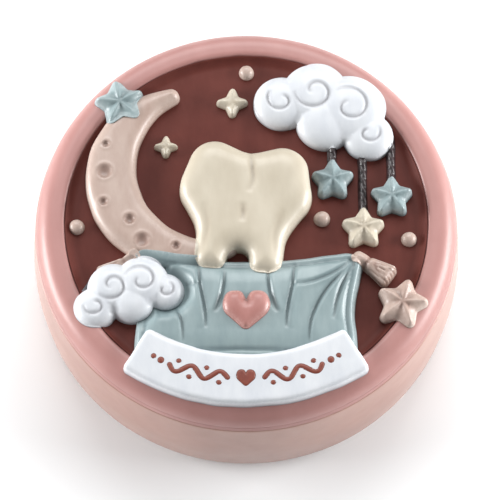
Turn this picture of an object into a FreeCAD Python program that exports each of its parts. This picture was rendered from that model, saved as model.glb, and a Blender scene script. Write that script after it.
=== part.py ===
import FreeCAD, Part
import math
import os

# A round keepsake box for milk teeth, standing on a felt pad.
# Millimetres, +Z up, origin under the middle of the felt pad, banner towards -Y.

# Base cup
base_height = 18.6
base_rim_radius = 33.9
base_wall = 3.0
base_belly_bulge = 1.0
base_belly_height = 9.1
base_belly_bend = 34.0
base_foot_flare = 0.5
base_foot_rounding = 2.4
base_rim_rounding = 0.9
base_floor = 2.4
base_inner_rounding = 4.0

# Felt pad, glued into a recess under the base and standing a little proud of it
pad_margin = 5.9
pad_thickness = 1.2
pad_stand = 0.5
pad_clearance = 0.2

# Lid casting: a rounded rim round a shallow pocket, with a locating lip below
lid_setback = 0.3
lid_edge_rounding = 0.5
lid_rim_width = 4.8
lid_rim_rise = 3.8
lid_shoulder_radius = 3.1
lid_inner_rounding = 0.5
lip_depth = 3.0
lip_wall = 2.4
lip_clearance = 0.35
lip_rounding = 0.8

# Painted panel in the lid's pocket
panel_sink = 1.2
panel_thickness = 1.0
panel_clearance = 0.1

# Relief on the panel, laid out to fill it: sizes across the panel are shares of its radius

# Curved banner plate along the near edge
banner_outer_radius_share = 1.20
banner_inner_radius_share = 1.06
banner_rim_overlap = 2.2
banner_width_share = 0.285
banner_outer_half_span_share = 0.667
banner_inner_half_span_share = 0.533
banner_corner_radius_share = 0.028
banner_height = 3.0
banner_rounding_share = 0.02

# Tooth
tooth_size_shares = (0.68, 0.80)
tooth_height = 3.8
tooth_rounding_share = 0.08
tooth_angle = -6.0
tooth_place_shares = (-0.01, 0.09)
tooth_outline_shares = (
    (-0.43, 0.50, 0.21),
    (0.00, 0.37, 0.22),
    (0.43, 0.50, 0.21),
    (0.56, 0.06, 0.26),
    (0.36, -0.20, 0.30),
    (0.35, -0.50, 0.11),
    (0.12, -0.50, 0.09),
    (0.00, -0.12, 0.09),
    (-0.12, -0.50, 0.09),
    (-0.35, -0.50, 0.11),
    (-0.36, -0.20, 0.30),
    (-0.56, 0.06, 0.26),
)

# Pillow under the tooth
pillow_size_shares = (1.33, 0.66)
pillow_height = 2.8
pillow_rounding_share = 0.11
pillow_place_shares = (0.0, -0.50)
pillow_outline_shares = (
    (-0.50, 0.50, 0.13),
    (0.00, 0.34, 4.60),
    (0.50, 0.50, 0.13),
    (0.44, 0.00, 1.05),
    (0.46, -0.50, 0.13),
    (0.00, -0.46, 6.00),
    (-0.46, -0.50, 0.13),
    (-0.44, 0.00, 1.05),
)

# Heart on the pillow
heart_size_shares = (0.24, 0.21)
heart_height = 3.6
heart_rounding_share = 0.11
heart_place_shares = (0.0, -0.545)
heart_outline_shares = (
    (0.00, -0.55, 0.14),
    (0.58, 0.06, 0.40),
    (0.44, 0.52, 0.24),
    (0.12, 0.52, 0.18),
    (0.00, 0.26, 0.02),
    (-0.12, 0.52, 0.18),
    (-0.44, 0.52, 0.24),
    (-0.58, 0.06, 0.40),
)

# Tassels at the pillow's two upper corners
tassel_size_shares = (0.14, 0.25)
tassel_height = 2.4
tassel_rounding_share = 0.145
tassel_tuck_share = 0.034
tassel_inset_share = 0.05
tassel_angle = 58.0
tassel_outline_shares = (
    (-0.28, 0.50, 0.22),
    (0.28, 0.50, 0.22),
    (0.26, 0.14, 0.10),
    (0.50, -0.50, 0.20),
    (-0.50, -0.50, 0.20),
    (-0.26, 0.14, 0.10),
)

# Crescent moon behind the tooth
moon_radius_share = 0.54
moon_bite_radius_share = 0.45
moon_bite_offset_share = 0.20
moon_tip_radius_share = 0.044
moon_angle = 20.0
moon_height = 2.4
moon_rounding_share = 0.04
moon_place_shares = (-0.355, 0.26)

# Two clouds, each a heap of round lobes
cloud_width_shares = {"cloud_left": 0.61, "cloud_right": 0.82}
cloud_angles = {"cloud_left": 14.0, "cloud_right": -22.0}
cloud_place_shares = {"cloud_left": (-0.645, -0.435), "cloud_right": (0.45, 0.655)}
cloud_height = 3.1
cloud_rounding_share = 0.085
cloud_lobe_shares = (
    (-0.31, -0.05, 0.19),
    (-0.12, 0.09, 0.23),
    (0.14, 0.07, 0.25),
    (0.33, -0.06, 0.17),
    (0.02, -0.07, 0.20),
)

# Three stars, each on a straight cast hanger below the right-hand cloud
hanger_width_share = 0.044
hanger_height = 1.2
hanger_rounding_share = 0.3
hanger_anchor_shares = (0.04, 0.26, 0.47)
hanger_drop_shares = (0.40, 0.62, 0.37)
drop_star_radius_share = 0.14
drop_star_height = 2.3

# Two larger stars that lie half over the rim
rim_star_radius_share = 0.17
rim_star_height = 2.8
rim_star_place_shares = {"star_left": (-0.71, 0.70), "star_right": (0.85, -0.49)}
rim_star_angles = {"star_left": 12.0, "star_right": -16.0}

# Shape of every five-pointed star
star_points = 5
star_waist_share = 0.56
star_tip_rounding_share = 0.17
star_waist_rounding_share = 0.12
star_rounding_share = 0.13

# Four-pointed sparkles
sparkle_radius_shares = {"sparkle_large": 0.116, "sparkle_small": 0.088}
sparkle_place_shares = {"sparkle_large": (-0.08, 0.72), "sparkle_small": (-0.45, 0.45)}
sparkle_height = 1.4
sparkle_points = 4
sparkle_waist_share = 0.42
sparkle_rounding_share = 0.08

# Round beads
bead_radius_share = 0.041
bead_height = 1.3
bead_rounding_share = 0.66
bead_place_shares = ((0.0, 0.91), (-0.94, -0.03), (0.90, -0.10), (0.42, 0.02))

# Sizes that several pieces share
recess_top = pad_thickness
base_bottom = pad_stand
base_floor_top = recess_top + base_floor
base_bore_radius = base_rim_radius - base_wall
base_foot_radius = base_rim_radius + base_foot_flare
pad_radius = base_foot_radius - pad_margin
rim_z = base_height
crest_z = rim_z + lid_rim_rise
lid_radius = base_rim_radius - lid_setback
panel_radius = lid_radius - lid_rim_width
panel_top = crest_z - panel_sink
pocket_floor = panel_top - panel_thickness


def point(x, y, z=0.0):
    return FreeCAD.Vector(x, y, z)


def joined(edges):
    return Part.Wire(Part.__sortEdges__(edges))


def rounded_wire(corners):
    # Straight runs between corners, with a tangent arc of its own radius at each corner.
    starts = []
    middles = []
    ends = []
    for index, (corner, radius) in enumerate(corners):
        arrive = (corner - corners[index - 1][0]).normalize()
        leave = (corners[(index + 1) % len(corners)][0] - corner).normalize()
        half_turn = arrive.getAngle(leave) / 2
        tangent = radius * math.tan(half_turn)
        inward = (leave - arrive).normalize()
        starts.append(corner - arrive * tangent)
        ends.append(corner + leave * tangent)
        middles.append(corner + inward * (radius / math.cos(half_turn) - radius))
    edges = []
    for index, (corner, radius) in enumerate(corners):
        edges.append(Part.LineSegment(ends[index - 1], starts[index]).toShape())
        if radius > 0:
            edges.append(Part.Arc(starts[index], middles[index], ends[index]).toShape())
    return joined(edges)


def tips_rounded(edges, radius):
    # Drawn in and let out again by the same radius, which rounds the outward corners.
    return joined(edges).makeOffset2D(-radius).makeOffset2D(radius)


def turned(corners):
    # Solid of revolution from corners given as (radius, height, rounding).
    profile = [(point(radius, 0, height), rounding) for radius, height, rounding in corners]
    return Part.Face(rounded_wire(profile)).revolve(point(0, 0), point(0, 0, 1), 360)


def top_rounded(prism, rounding):
    top = prism.BoundBox.ZMax
    edges = [edge for edge in prism.Edges if edge.BoundBox.ZMin > top - rounding / 100]
    return prism.makeFillet(rounding, edges)


def raised(outline, height, rounding):
    # Flat outline on the panel, drawn up to a height, with its top edge rounded.
    face = Part.Face(outline)
    face.translate(point(0, 0, panel_top))
    return top_rounded(face.extrude(point(0, 0, height)), rounding)


def across(share):
    return share * panel_radius


def on_panel(place_shares):
    return point(across(place_shares[0]), across(place_shares[1]))


def placed(shape, place, turn):
    shape.rotate(point(0, 0), point(0, 0, 1), turn)
    shape.translate(place)
    return shape


def outlined(outline_shares, size_shares, height, rounding_share):
    # Raised piece from an outline in shares of its own width and length.
    width, length = (across(share) for share in size_shares)
    least = min(width, length)
    corners = [(point(x * width, y * length), radius * least) for x, y, radius in outline_shares]
    return raised(rounded_wire(corners), height, rounding_share * least)


def star(radius_share, points, waist_share, height, rounding_share):
    radius = across(radius_share)
    corners = []
    for index in range(points):
        tip_angle = math.pi / 2 + index * 2 * math.pi / points
        waist_angle = tip_angle + math.pi / points
        waist = radius * waist_share
        corners.append((
            point(radius * math.cos(tip_angle), radius * math.sin(tip_angle)),
            radius * star_tip_rounding_share,
        ))
        corners.append((
            point(waist * math.cos(waist_angle), waist * math.sin(waist_angle)),
            radius * star_waist_rounding_share,
        ))
    return raised(rounded_wire(corners), height, radius * rounding_share)


def button(radius, height, rounding, place):
    disc = Part.makeCylinder(radius, height, place + point(0, 0, panel_top))
    return top_rounded(disc, rounding)


def base_cup():
    recess_radius = pad_radius + pad_clearance
    return turned([
        (0, recess_top, 0),
        (recess_radius, recess_top, 0),
        (recess_radius, base_bottom, 0),
        (base_foot_radius, base_bottom, base_foot_rounding),
        (base_rim_radius + base_belly_bulge, base_belly_height, base_belly_bend),
        (base_rim_radius, base_height, base_rim_rounding),
        (base_bore_radius, base_height, 0),
        (base_bore_radius, base_floor_top, base_inner_rounding),
        (0, base_floor_top, 0),
    ])


def felt_pad():
    return Part.makeCylinder(pad_radius, pad_thickness)


def lid_shell():
    lip_outer = base_bore_radius - lip_clearance
    lip_inner = lip_outer - lip_wall
    lip_end = rim_z - lip_depth
    return turned([
        (0, rim_z, 0),
        (lip_inner, rim_z, 0),
        (lip_inner, lip_end, lip_rounding),
        (lip_outer, lip_end, lip_rounding),
        (lip_outer, rim_z, 0),
        (lid_radius, rim_z, lid_edge_rounding),
        (lid_radius, crest_z, lid_shoulder_radius),
        (panel_radius, crest_z, lid_inner_rounding),
        (panel_radius, pocket_floor, 0),
        (0, pocket_floor, 0),
    ])


def lid_panel():
    return Part.makeCylinder(panel_radius - panel_clearance, panel_thickness, point(0, 0, pocket_floor))


def label_banner():
    outer_radius = across(banner_outer_radius_share)
    inner_radius = across(banner_inner_radius_share)
    outer_x = across(banner_outer_half_span_share)
    inner_x = across(banner_inner_half_span_share)
    near_y = -(panel_radius + banner_rim_overlap)
    far_y = near_y + across(banner_width_share)
    outer_y = near_y + outer_radius - math.sqrt(outer_radius ** 2 - outer_x ** 2)
    inner_y = far_y + inner_radius - math.sqrt(inner_radius ** 2 - inner_x ** 2)
    edges = [
        Part.Arc(point(-outer_x, outer_y), point(0, near_y), point(outer_x, outer_y)).toShape(),
        Part.LineSegment(point(outer_x, outer_y), point(inner_x, inner_y)).toShape(),
        Part.Arc(point(inner_x, inner_y), point(0, far_y), point(-inner_x, inner_y)).toShape(),
        Part.LineSegment(point(-inner_x, inner_y), point(-outer_x, outer_y)).toShape(),
    ]
    outline = tips_rounded(edges, across(banner_corner_radius_share))
    return raised(outline, banner_height, across(banner_rounding_share))


def tooth():
    shape = outlined(tooth_outline_shares, tooth_size_shares, tooth_height, tooth_rounding_share)
    return placed(shape, on_panel(tooth_place_shares), tooth_angle)


def pillow():
    shape = outlined(pillow_outline_shares, pillow_size_shares, pillow_height, pillow_rounding_share)
    return placed(shape, on_panel(pillow_place_shares), 0)


def pillow_heart():
    shape = outlined(heart_outline_shares, heart_size_shares, heart_height, heart_rounding_share)
    return placed(shape, on_panel(heart_place_shares), 0)


def tassel(side):
    # Tucked into the pillow's upper corner on the given side, -1 or 1, and hanging outwards.
    shape = outlined(tassel_outline_shares, tassel_size_shares, tassel_height, tassel_rounding_share)
    shape.translate(point(0, across(tassel_tuck_share - tassel_size_shares[1] / 2)))
    corner_x = across(pillow_size_shares[0] / 2 - tassel_inset_share)
    corner_y = across(pillow_size_shares[1] / 2 - tassel_inset_share)
    corner = on_panel(pillow_place_shares) + point(side * corner_x, corner_y)
    return placed(shape, corner, side * tassel_angle)


def crescent_moon():
    # The two circles meet on a line square to the one through their middles.
    radius = across(moon_radius_share)
    bite_radius = across(moon_bite_radius_share)
    bite_offset = across(moon_bite_offset_share)
    meet_x = (radius ** 2 - bite_radius ** 2 + bite_offset ** 2) / (2 * bite_offset)
    meet_y = math.sqrt(radius ** 2 - meet_x ** 2)
    upper = point(meet_x, meet_y)
    lower = point(meet_x, -meet_y)
    edges = [
        Part.Arc(upper, point(-radius, 0), lower).toShape(),
        Part.Arc(lower, point(bite_offset - bite_radius, 0), upper).toShape(),
    ]
    outline = tips_rounded(edges, across(moon_tip_radius_share))
    shape = raised(outline, moon_height, across(moon_rounding_share))
    return placed(shape, on_panel(moon_place_shares), moon_angle)


def cloud(name):
    width = across(cloud_width_shares[name])
    lobes = []
    for x, y, radius in cloud_lobe_shares:
        place = point(x * width, y * width)
        lobes.append(button(radius * width, cloud_height, cloud_rounding_share * width, place))
    heap = lobes[0]
    for lobe in lobes[1:]:
        heap = heap.fuse(lobe)
    heap = heap.removeSplitter()
    return placed(heap, on_panel(cloud_place_shares[name]), cloud_angles[name])


def hanger_anchor(share):
    # Place along the right-hand cloud, as a share of its width from its middle.
    turn = math.radians(cloud_angles["cloud_right"])
    reach = share * across(cloud_width_shares["cloud_right"])
    middle = on_panel(cloud_place_shares["cloud_right"])
    return middle + point(reach * math.cos(turn), reach * math.sin(turn))


def hanger(low_end, length):
    width = across(hanger_width_share)
    bar = Part.makeBox(width, length, hanger_height, low_end + point(-width / 2, 0, panel_top))
    return top_rounded(bar, hanger_rounding_share * width)


def five_pointed(radius_share, height):
    return star(radius_share, star_points, star_waist_share, height, star_rounding_share)


def drop_star(place):
    return placed(five_pointed(drop_star_radius_share, drop_star_height), place, 0)


def rim_star(name):
    shape = five_pointed(rim_star_radius_share, rim_star_height)
    return placed(shape, on_panel(rim_star_place_shares[name]), rim_star_angles[name])


def sparkle(name):
    radius_share = sparkle_radius_shares[name]
    shape = star(radius_share, sparkle_points, sparkle_waist_share, sparkle_height, sparkle_rounding_share)
    return placed(shape, on_panel(sparkle_place_shares[name]), 0)


def bead(place_shares):
    radius = across(bead_radius_share)
    return button(radius, bead_height, bead_rounding_share * radius, on_panel(place_shares))


nodes = {
    "base_cup": base_cup(),
    "felt_pad": felt_pad(),
    "lid_shell": lid_shell(),
    "lid_panel": lid_panel(),
}

# Relief from the front backwards
relief = {
    "label_banner": label_banner(),
    "tooth": tooth(),
    "pillow_heart": pillow_heart(),
    "tassel_left": tassel(-1),
    "tassel_right": tassel(1),
    "cloud_left": cloud("cloud_left"),
    "cloud_right": cloud("cloud_right"),
    "pillow": pillow(),
}
for number, (anchor_share, drop_share) in enumerate(zip(hanger_anchor_shares, hanger_drop_shares), start=1):
    drop = across(drop_share)
    low_end = hanger_anchor(anchor_share) - point(0, drop)
    relief[f"drop_star_{number}"] = drop_star(low_end)
    relief[f"hanger_{number}"] = hanger(low_end, drop)
for name in rim_star_place_shares:
    relief[name] = rim_star(name)
relief["crescent_moon"] = crescent_moon()
for name in sparkle_place_shares:
    relief[name] = sparkle(name)
relief["beads"] = Part.makeCompound([bead(place_shares) for place_shares in bead_place_shares])

# Each piece is cut back by the rim that carries it and by those that lie in front of it.
front = [nodes["lid_shell"]]
for name, shape in relief.items():
    for other in front:
        if shape.BoundBox.intersect(other.BoundBox):
            shape = shape.cut(other)
    nodes[name] = shape
    front.append(shape)

# The lower horn ends behind the tooth, so what would show between the roots is left off.
nodes["crescent_moon"] = max(nodes["crescent_moon"].Solids, key=lambda solid: solid.Volume)

os.makedirs("parts", exist_ok=True)
for name, shape in nodes.items():
    shape.exportStep(f"parts/{name}.step")
    state = "valid" if shape.isValid() else "broken"
    print(name, len(shape.Solids), "solids", round(shape.Volume, 1), "mm3", state)
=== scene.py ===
import bpy
import math
import numpy as np
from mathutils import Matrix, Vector, geometry, noise


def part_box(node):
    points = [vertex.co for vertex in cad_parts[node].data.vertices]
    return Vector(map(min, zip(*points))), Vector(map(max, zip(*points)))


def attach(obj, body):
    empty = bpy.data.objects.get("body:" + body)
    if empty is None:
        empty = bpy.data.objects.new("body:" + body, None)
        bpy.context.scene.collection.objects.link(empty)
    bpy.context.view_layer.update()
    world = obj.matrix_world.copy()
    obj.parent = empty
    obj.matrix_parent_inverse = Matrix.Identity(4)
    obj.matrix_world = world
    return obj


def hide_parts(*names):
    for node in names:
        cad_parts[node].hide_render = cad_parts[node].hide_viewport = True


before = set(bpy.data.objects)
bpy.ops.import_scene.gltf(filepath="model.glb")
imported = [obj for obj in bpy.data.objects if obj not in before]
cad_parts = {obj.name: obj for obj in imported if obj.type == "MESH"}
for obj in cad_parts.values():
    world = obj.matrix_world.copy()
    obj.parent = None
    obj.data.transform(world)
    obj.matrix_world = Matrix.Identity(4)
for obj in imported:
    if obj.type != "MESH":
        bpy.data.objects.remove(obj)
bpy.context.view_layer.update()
scene = bpy.context.scene

mm = 0.001  # shapes are worked out in millimetres and made in metres


def nodeBox(node):
    low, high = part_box(node)
    return np.array(low) / mm, np.array(high) / mm


# Sizes that the frame gives
lidLow, lidHigh = nodeBox("lid_shell")
baseLow, baseHigh = nodeBox("base_cup")
padLow, padHigh = nodeBox("felt_pad")
panelLow, panelHigh = nodeBox("lid_panel")
lidRadius = lidHigh[0]
crestZ = lidHigh[2]
lipEnd = lidLow[2]
rimZ = baseHigh[2]
baseBottom = baseLow[2]
panelTop = panelHigh[2]
pocketFloor = panelLow[2]
pocketPlay = 0.1  # the panel lies in its pocket with this clearance
panelRadius = panelHigh[0] + pocketPlay


# Plane geometry in millimetres
outlineStep = 0.22  # between the points of an outline, where a piece gives no step of its own


def unit(vector):
    return vector / np.linalg.norm(vector)


def lengths(vectors):
    return np.linalg.norm(vectors, axis=1)


def turnedBy(points, degrees):
    angle = math.radians(degrees)
    c, s = math.cos(angle), math.sin(angle)
    return np.asarray(points) @ np.array([[c, s], [-s, c]])


def placed(points, place, degrees=0):
    return turnedBy(points, degrees) + np.asarray(place)


def local(points, place, degrees=0):
    return turnedBy(points - np.asarray(place), -degrees)


def onPanel(shares):
    return np.array(shares) * panelRadius


def evened(path, step, closed=True):
    # fills long runs with points no further apart than the step, and drops doubled points
    doubled = step / 50
    ends = np.roll(path, -1, 0) if closed else path[1:]
    starts = path if closed else path[:-1]
    out = []
    for a, b in zip(starts, ends):
        length = np.linalg.norm(b - a)
        if length > doubled:
            shares = np.linspace(0, 1, math.ceil(length / step), endpoint=False)
            out.append(a + (b - a) * shares[:, None])
    if not closed:
        out.append(path[-1:])
    return np.concatenate(out)


def roundedPath(corners, step, closed=True):
    # straight runs between (x, y, radius) corners, with a tangent arc at each corner
    spots = np.array([corner[:2] for corner in corners], float)
    pieces = []
    for index, spot in enumerate(spots):
        radius = corners[index][2]
        if radius == 0 or (not closed and index in (0, len(corners) - 1)):
            pieces.append(spot[None])
            continue
        arrive = unit(spot - spots[index - 1])
        leave = unit(spots[(index + 1) % len(spots)] - spot)
        turn = math.atan2(arrive[0] * leave[1] - arrive[1] * leave[0], arrive @ leave)
        start = spot - arrive * radius * math.tan(abs(turn) / 2)
        middle = start + math.copysign(radius, turn) * np.array((-arrive[1], arrive[0]))
        count = max(4, math.ceil(radius * abs(turn) / step) + 1)
        sweep = np.degrees(np.linspace(0, turn, count))
        pieces.append(np.array([middle + turnedBy(start - middle, angle) for angle in sweep]))
    return evened(np.concatenate(pieces), step, closed)


def arc(centre, radius, start, end, step=outlineStep):
    sweep = np.linspace(start, end, max(4, math.ceil(abs(end - start) * radius / step)))
    return np.array(centre) + radius * np.column_stack([np.cos(sweep), np.sin(sweep)])


def disc(radius, place, step=0.16):
    return place + arc((0, 0), radius, 0, 2 * math.pi, step)[:-1]


def pathDistance(points, path, closed=True):
    # how far each point lies from a path, and where along the path its nearest spot is, from 0 to 1
    batch = 1500  # points worked on at a time, to spare memory
    starts = path if closed else path[:-1]
    runs = (np.roll(path, -1, 0) if closed else path[1:]) - starts
    squares = (runs ** 2).sum(1)
    gaps, along = [], []
    for chunk in np.array_split(points, max(1, len(points) // batch)):
        offset = chunk[:, None] - starts
        share = np.clip((offset * runs).sum(2) / squares, 0, 1)
        square = ((offset - share[..., None] * runs) ** 2).sum(2)
        nearest = square.argmin(1)
        row = np.arange(len(chunk))
        gaps.append(np.sqrt(square[row, nearest]))
        along.append((nearest + share[row, nearest]) / len(starts))
    return np.concatenate(gaps), np.concatenate(along)


def inside(points, outline):
    tiny = 1e-12
    x, y = points[:, :1], points[:, 1:]
    ax, ay = outline.T
    bx, by = np.roll(outline, -1, 0).T
    level = by - ay
    level = np.where(np.abs(level) < tiny, tiny, level)
    crosses = ((ay > y) != (by > y)) & (x < ax + (y - ay) / level * (bx - ax))
    return crosses.sum(1) % 2 == 1


def swell(depth, reach, power=2.0):
    # rises from 0 at an edge to 1 at the reach, upright at first and level at the end
    return (1 - (1 - np.clip(depth / reach, 0, 1)) ** power) ** (1 / power)


def bell(off, width):
    return np.exp(-(off / width) ** 2)


def furrow(points, path, width, taper=0.35):
    # 1 along the middle of a line, 0 a little way off it, running out towards both ends
    gap, along = pathDistance(points, evened(np.array(path, float), 0.3, False), False)
    ends = np.clip(np.minimum(along, 1 - along) / taper, 0, 1)
    return bell(gap, width) * ends ** 0.5


def curve(points, step):
    # smooth line through given points
    points = np.array(points, float)
    padded = np.concatenate([points[:1] * 2 - points[1:2], points, points[-1:] * 2 - points[-2:-1]])
    out = []
    for a, b, c, d in zip(padded, padded[1:], padded[2:], padded[3:]):
        count = max(2, math.ceil(np.linalg.norm(c - b) / step))
        t = np.linspace(0, 1, count, endpoint=False)[:, None]
        out.append(b + 0.5 * t * (c - a + t * (2 * a - 5 * b + 4 * c - d + t * (3 * (b - c) + d - a))))
    return np.concatenate(out + [points[-1:]])


# The lid, whose ring is also what relief pieces stand on
lid = dict(
    shoulderRadius=3.1, innerRounding=0.9, lipWall=2.4, lipClearance=0.35, lipRounding=0.8,
    footFlare=0.22, footHeight=0.7, footBlend=0.8, edgeRounding=0.06,  # out to the cup's rim: a faint seam
    brushLevel=0.95, brushSwing=0.3, brushWaves=(5, 2), brushSoft=0.3, brushReach=0.6,  # brown paint
    segments=300, uneven=0.035, step=0.35)


def groundHeight(points):
    reach = np.hypot(points[:, 0], points[:, 1])
    inner, shoulder = lid["innerRounding"], lid["shoulderRadius"]
    inward = np.clip(panelRadius + inner - reach, 0, inner)
    outward = np.clip(reach - lidRadius + shoulder, 0, shoulder)
    height = crestZ - inner + np.sqrt(inner ** 2 - inward ** 2)
    height = height - shoulder + np.sqrt(shoulder ** 2 - outward ** 2)
    return np.where(reach < panelRadius, panelTop, height)


# Mesh makers: each gives points, faces, and for every point its share of dark wash colour, which is wash
# paint and painted shade, and of pale edge colour, which is thin paint and painted highlight
edgeSteps = (0.05, 0.13, 0.25, 0.42, 0.65, 0.95, 1.3)  # mm in from an outline, close at its edge
denseUnder = 0.3  # mm, steps under this keep every point of the outline
edgeFade = 0.4  # mm over which the pale edge, thin paint and painted highlight, runs out
draft = 0.12  # mm that a cast wall leans out at its foot
sink = 0.25  # mm that a piece is bedded in what carries it
clearOf = 0.22  # mm that a piece stays above one that it laps over
wallFalls = (0.35, 0.7, 1.0, None)  # shares of a wall's height from top to foot, then the bedded edge
wander, wanderLength = 0.12, 3.2  # mm that hand-cut outlines stray, and over what length
noise.seed_set(4)  # without a seed the vector noise starts from the clock
standing = []  # outline and surface of each relief piece made so far


def heightUnder(points):
    # the highest of the pieces made so far at each point, or the panel and ring where there is none
    under = groundHeight(points)
    for outline, surface in standing:
        near = np.flatnonzero(((points > outline.min(0)) & (points < outline.max(0))).all(1))
        near = near[inside(points[near], outline)] if len(near) else near
        if len(near):
            height = surface(points[near], pathDistance(points[near], outline)[0])[0]
            under[near] = np.maximum(under[near], height)
    return under


def strayed(outline):
    field = [noise.noise_vector(Vector((x, y, 0)) / wanderLength)[:2] for x, y in outline]
    return outline + wander * np.array(field)


def topSpots(outline, inward, spacing):
    # the outline, rings just inside it that keep clear of its far side, and a triangular grid in the middle
    spots = [outline]
    for step in edgeSteps:
        ring = (outline + inward * step)[::1 if step < denseUnder else 2]
        depth = pathDistance(ring, outline)[0]
        spots.append(ring[inside(ring, outline) & (depth > 0.94 * step)])
    low, high = outline.min(0), outline.max(0)
    rows = np.arange(low[1], high[1], spacing * 0.866)
    across, up = np.meshgrid(np.arange(low[0], high[0], spacing), rows)
    across = across + np.where(np.arange(len(up)) % 2, spacing / 2, 0)[:, None]
    grid = np.stack([across.ravel(), up.ravel()], 1)
    grid = grid[inside(grid, outline)]
    if len(grid):
        spots.append(grid[pathDistance(grid, outline)[0] > edgeSteps[-1] + spacing * 0.55])
    return np.concatenate(spots)


def reliefShape(outline, surface, spacing=0.34, ground=groundHeight, lap=clearOf):
    # a top sculpted by surface(points, depth) above what it laps over, walls to the ground, closed below
    outline = strayed(outline)
    after, before = np.roll(outline, -1, 0), np.roll(outline, 1, 0)
    if (outline[:, 0] * after[:, 1] - outline[:, 1] * after[:, 0]).sum() < 0:
        outline = outline[::-1]
        after, before = np.roll(outline, -1, 0), np.roll(outline, 1, 0)
    along = after - before
    inward = np.stack([-along[:, 1], along[:, 0]], 1) / lengths(along)[:, None]
    count = len(outline)
    points = topSpots(outline, inward, spacing)
    depth = pathDistance(points, outline)[0]
    depth[:count] = 0
    foot = ground(outline)
    height, washAndShade = surface(points, depth)
    height = np.maximum(height, heightUnder(points) + lap)
    if lap:  # paint strokes carry nothing
        standing.append((outline, surface))
    loop = [(index, (index + 1) % count) for index in range(count)]
    cut = geometry.delaunay_2d_cdt([Vector(point) for point in points], loop, [], 1, 1e-7)
    source = [names[0] for names in cut[3]]
    faces = [tuple(source[corner] for corner in face) for face in cut[2]]
    verts = [np.column_stack([points, height])]
    washAndShadeLists, edges = [washAndShade], [np.exp(-depth / edgeFade)]
    top = list(range(count))
    for fall in wallFalls:
        share = fall or 1.0
        level = foot - sink if fall is None else height[:count] + (foot - height[:count]) * fall
        verts.append(np.column_stack([outline - inward * draft * share, level]))
        # down each wall the wash share grows into painted shade, darkest at the foot, and the pale edge
        # share, a painted highlight, fades from the top
        washAndShadeLists.append(np.full(count, share ** 2))
        edges.append(np.full(count, 0.8 * (1 - share)))
        start = sum(len(part) for part in verts) - count
        below = list(range(start, start + count))
        faces += [(top[b], top[a], below[a], below[b]) for a, b in loop]
        top = below
    faces.append(tuple(reversed(top)))
    return np.concatenate(verts), faces, np.concatenate(washAndShadeLists), np.concatenate(edges)


def turnedShape(profile, segments=240, uneven=0.0):
    # a profile of (radius, height) points spun about the axis, a little uneven as a hand-finished casting is
    longSwing, shortSwing, shortShare, calmRadius = 11, 4, 0.4, 8  # mm, and calm towards the axis
    angles = np.linspace(0, 2 * math.pi, segments, endpoint=False)
    verts, rings, faces = [], [], []
    for radius, height in profile:
        start = len(verts)
        if radius < 1e-6:
            verts.append((0, 0, height))
            rings.append([start] * segments)
            continue
        verts += [(radius * math.cos(a), radius * math.sin(a), height) for a in angles]
        rings.append(list(range(start, start + segments)))
    for lower, upper in zip(rings, rings[1:]):
        for a in range(segments):
            b = (a + 1) % segments
            corners = (lower[a], lower[b], upper[b], upper[a])
            faces.append(tuple(dict.fromkeys(corners)))
    verts = np.array(verts, float)
    if uneven:
        spots = [Vector(spot) for spot in verts]
        swing = [noise.noise(at / longSwing) + shortShare * noise.noise(at / shortSwing) for at in spots]
        flat = np.hypot(verts[:, 0], verts[:, 1])
        out = verts[:, :2] / np.maximum(flat, 1e-6)[:, None]
        verts[:, :2] += out * (np.array(swing) * uneven * np.clip(flat / calmRadius, 0, 1))[:, None]
        verts[:, 2] += np.array(swing[::-1]) * uneven * 0.5
    return verts, faces, np.zeros(len(verts)), np.zeros(len(verts))


def joined(shapes):
    verts, faces, washAndShadeLists, edges = [], [], [], []
    start = 0
    for points, corners, washAndShade, edge in shapes:
        verts.append(points)
        washAndShadeLists.append(washAndShade)
        edges.append(edge)
        faces += [tuple(index + start for index in face) for face in corners]
        start += len(points)
    return np.concatenate(verts), faces, np.concatenate(washAndShadeLists), np.concatenate(edges)


def makePiece(name, shape, material, slot, *nodes, body="lid"):
    points, faces, washAndShade, edge = shape
    mesh = bpy.data.meshes.new(name)
    mesh.from_pydata((points * mm).tolist(), [], faces)
    for label, values in (("washAndShade", washAndShade), ("edge", edge)):
        layer = mesh.attributes.new(label, "FLOAT", "POINT")
        layer.data.foreach_set("value", np.asarray(values, np.float32))
    mesh.polygons.foreach_set("use_smooth", [True] * len(mesh.polygons))
    mesh.materials.append(material)
    mesh.update()
    piece = bpy.data.objects.new(name, mesh)
    scene.collection.objects.link(piece)
    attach(piece, body)
    if nodes:
        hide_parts(*nodes)
    return piece


# Materials

def linear(hexColour):
    channels = [int(hexColour[at:at + 2], 16) / 255 for at in (0, 2, 4)]
    return [c / 12.92 if c <= 0.04045 else ((c + 0.055) / 1.055) ** 2.4 for c in channels] + [1.0]


def addNode(tree, kind, output, values=None, links=None, **settings):
    node = tree.nodes.new(kind)
    for name, value in settings.items():
        setattr(node, name, value)
    for socket, value in (values or {}).items():
        node.inputs[socket].default_value = value
    for socket, source in (links or {}).items():
        tree.links.new(source, node.inputs[socket])
    return node.outputs[output]


def newMaterial(name, values):
    material = bpy.data.materials.new(name)
    material.use_nodes = True
    tree = material.node_tree
    shader = tree.nodes["Principled BSDF"]
    for socket, value in values.items():
        shader.inputs[socket].default_value = value
    return material, tree, shader


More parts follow.
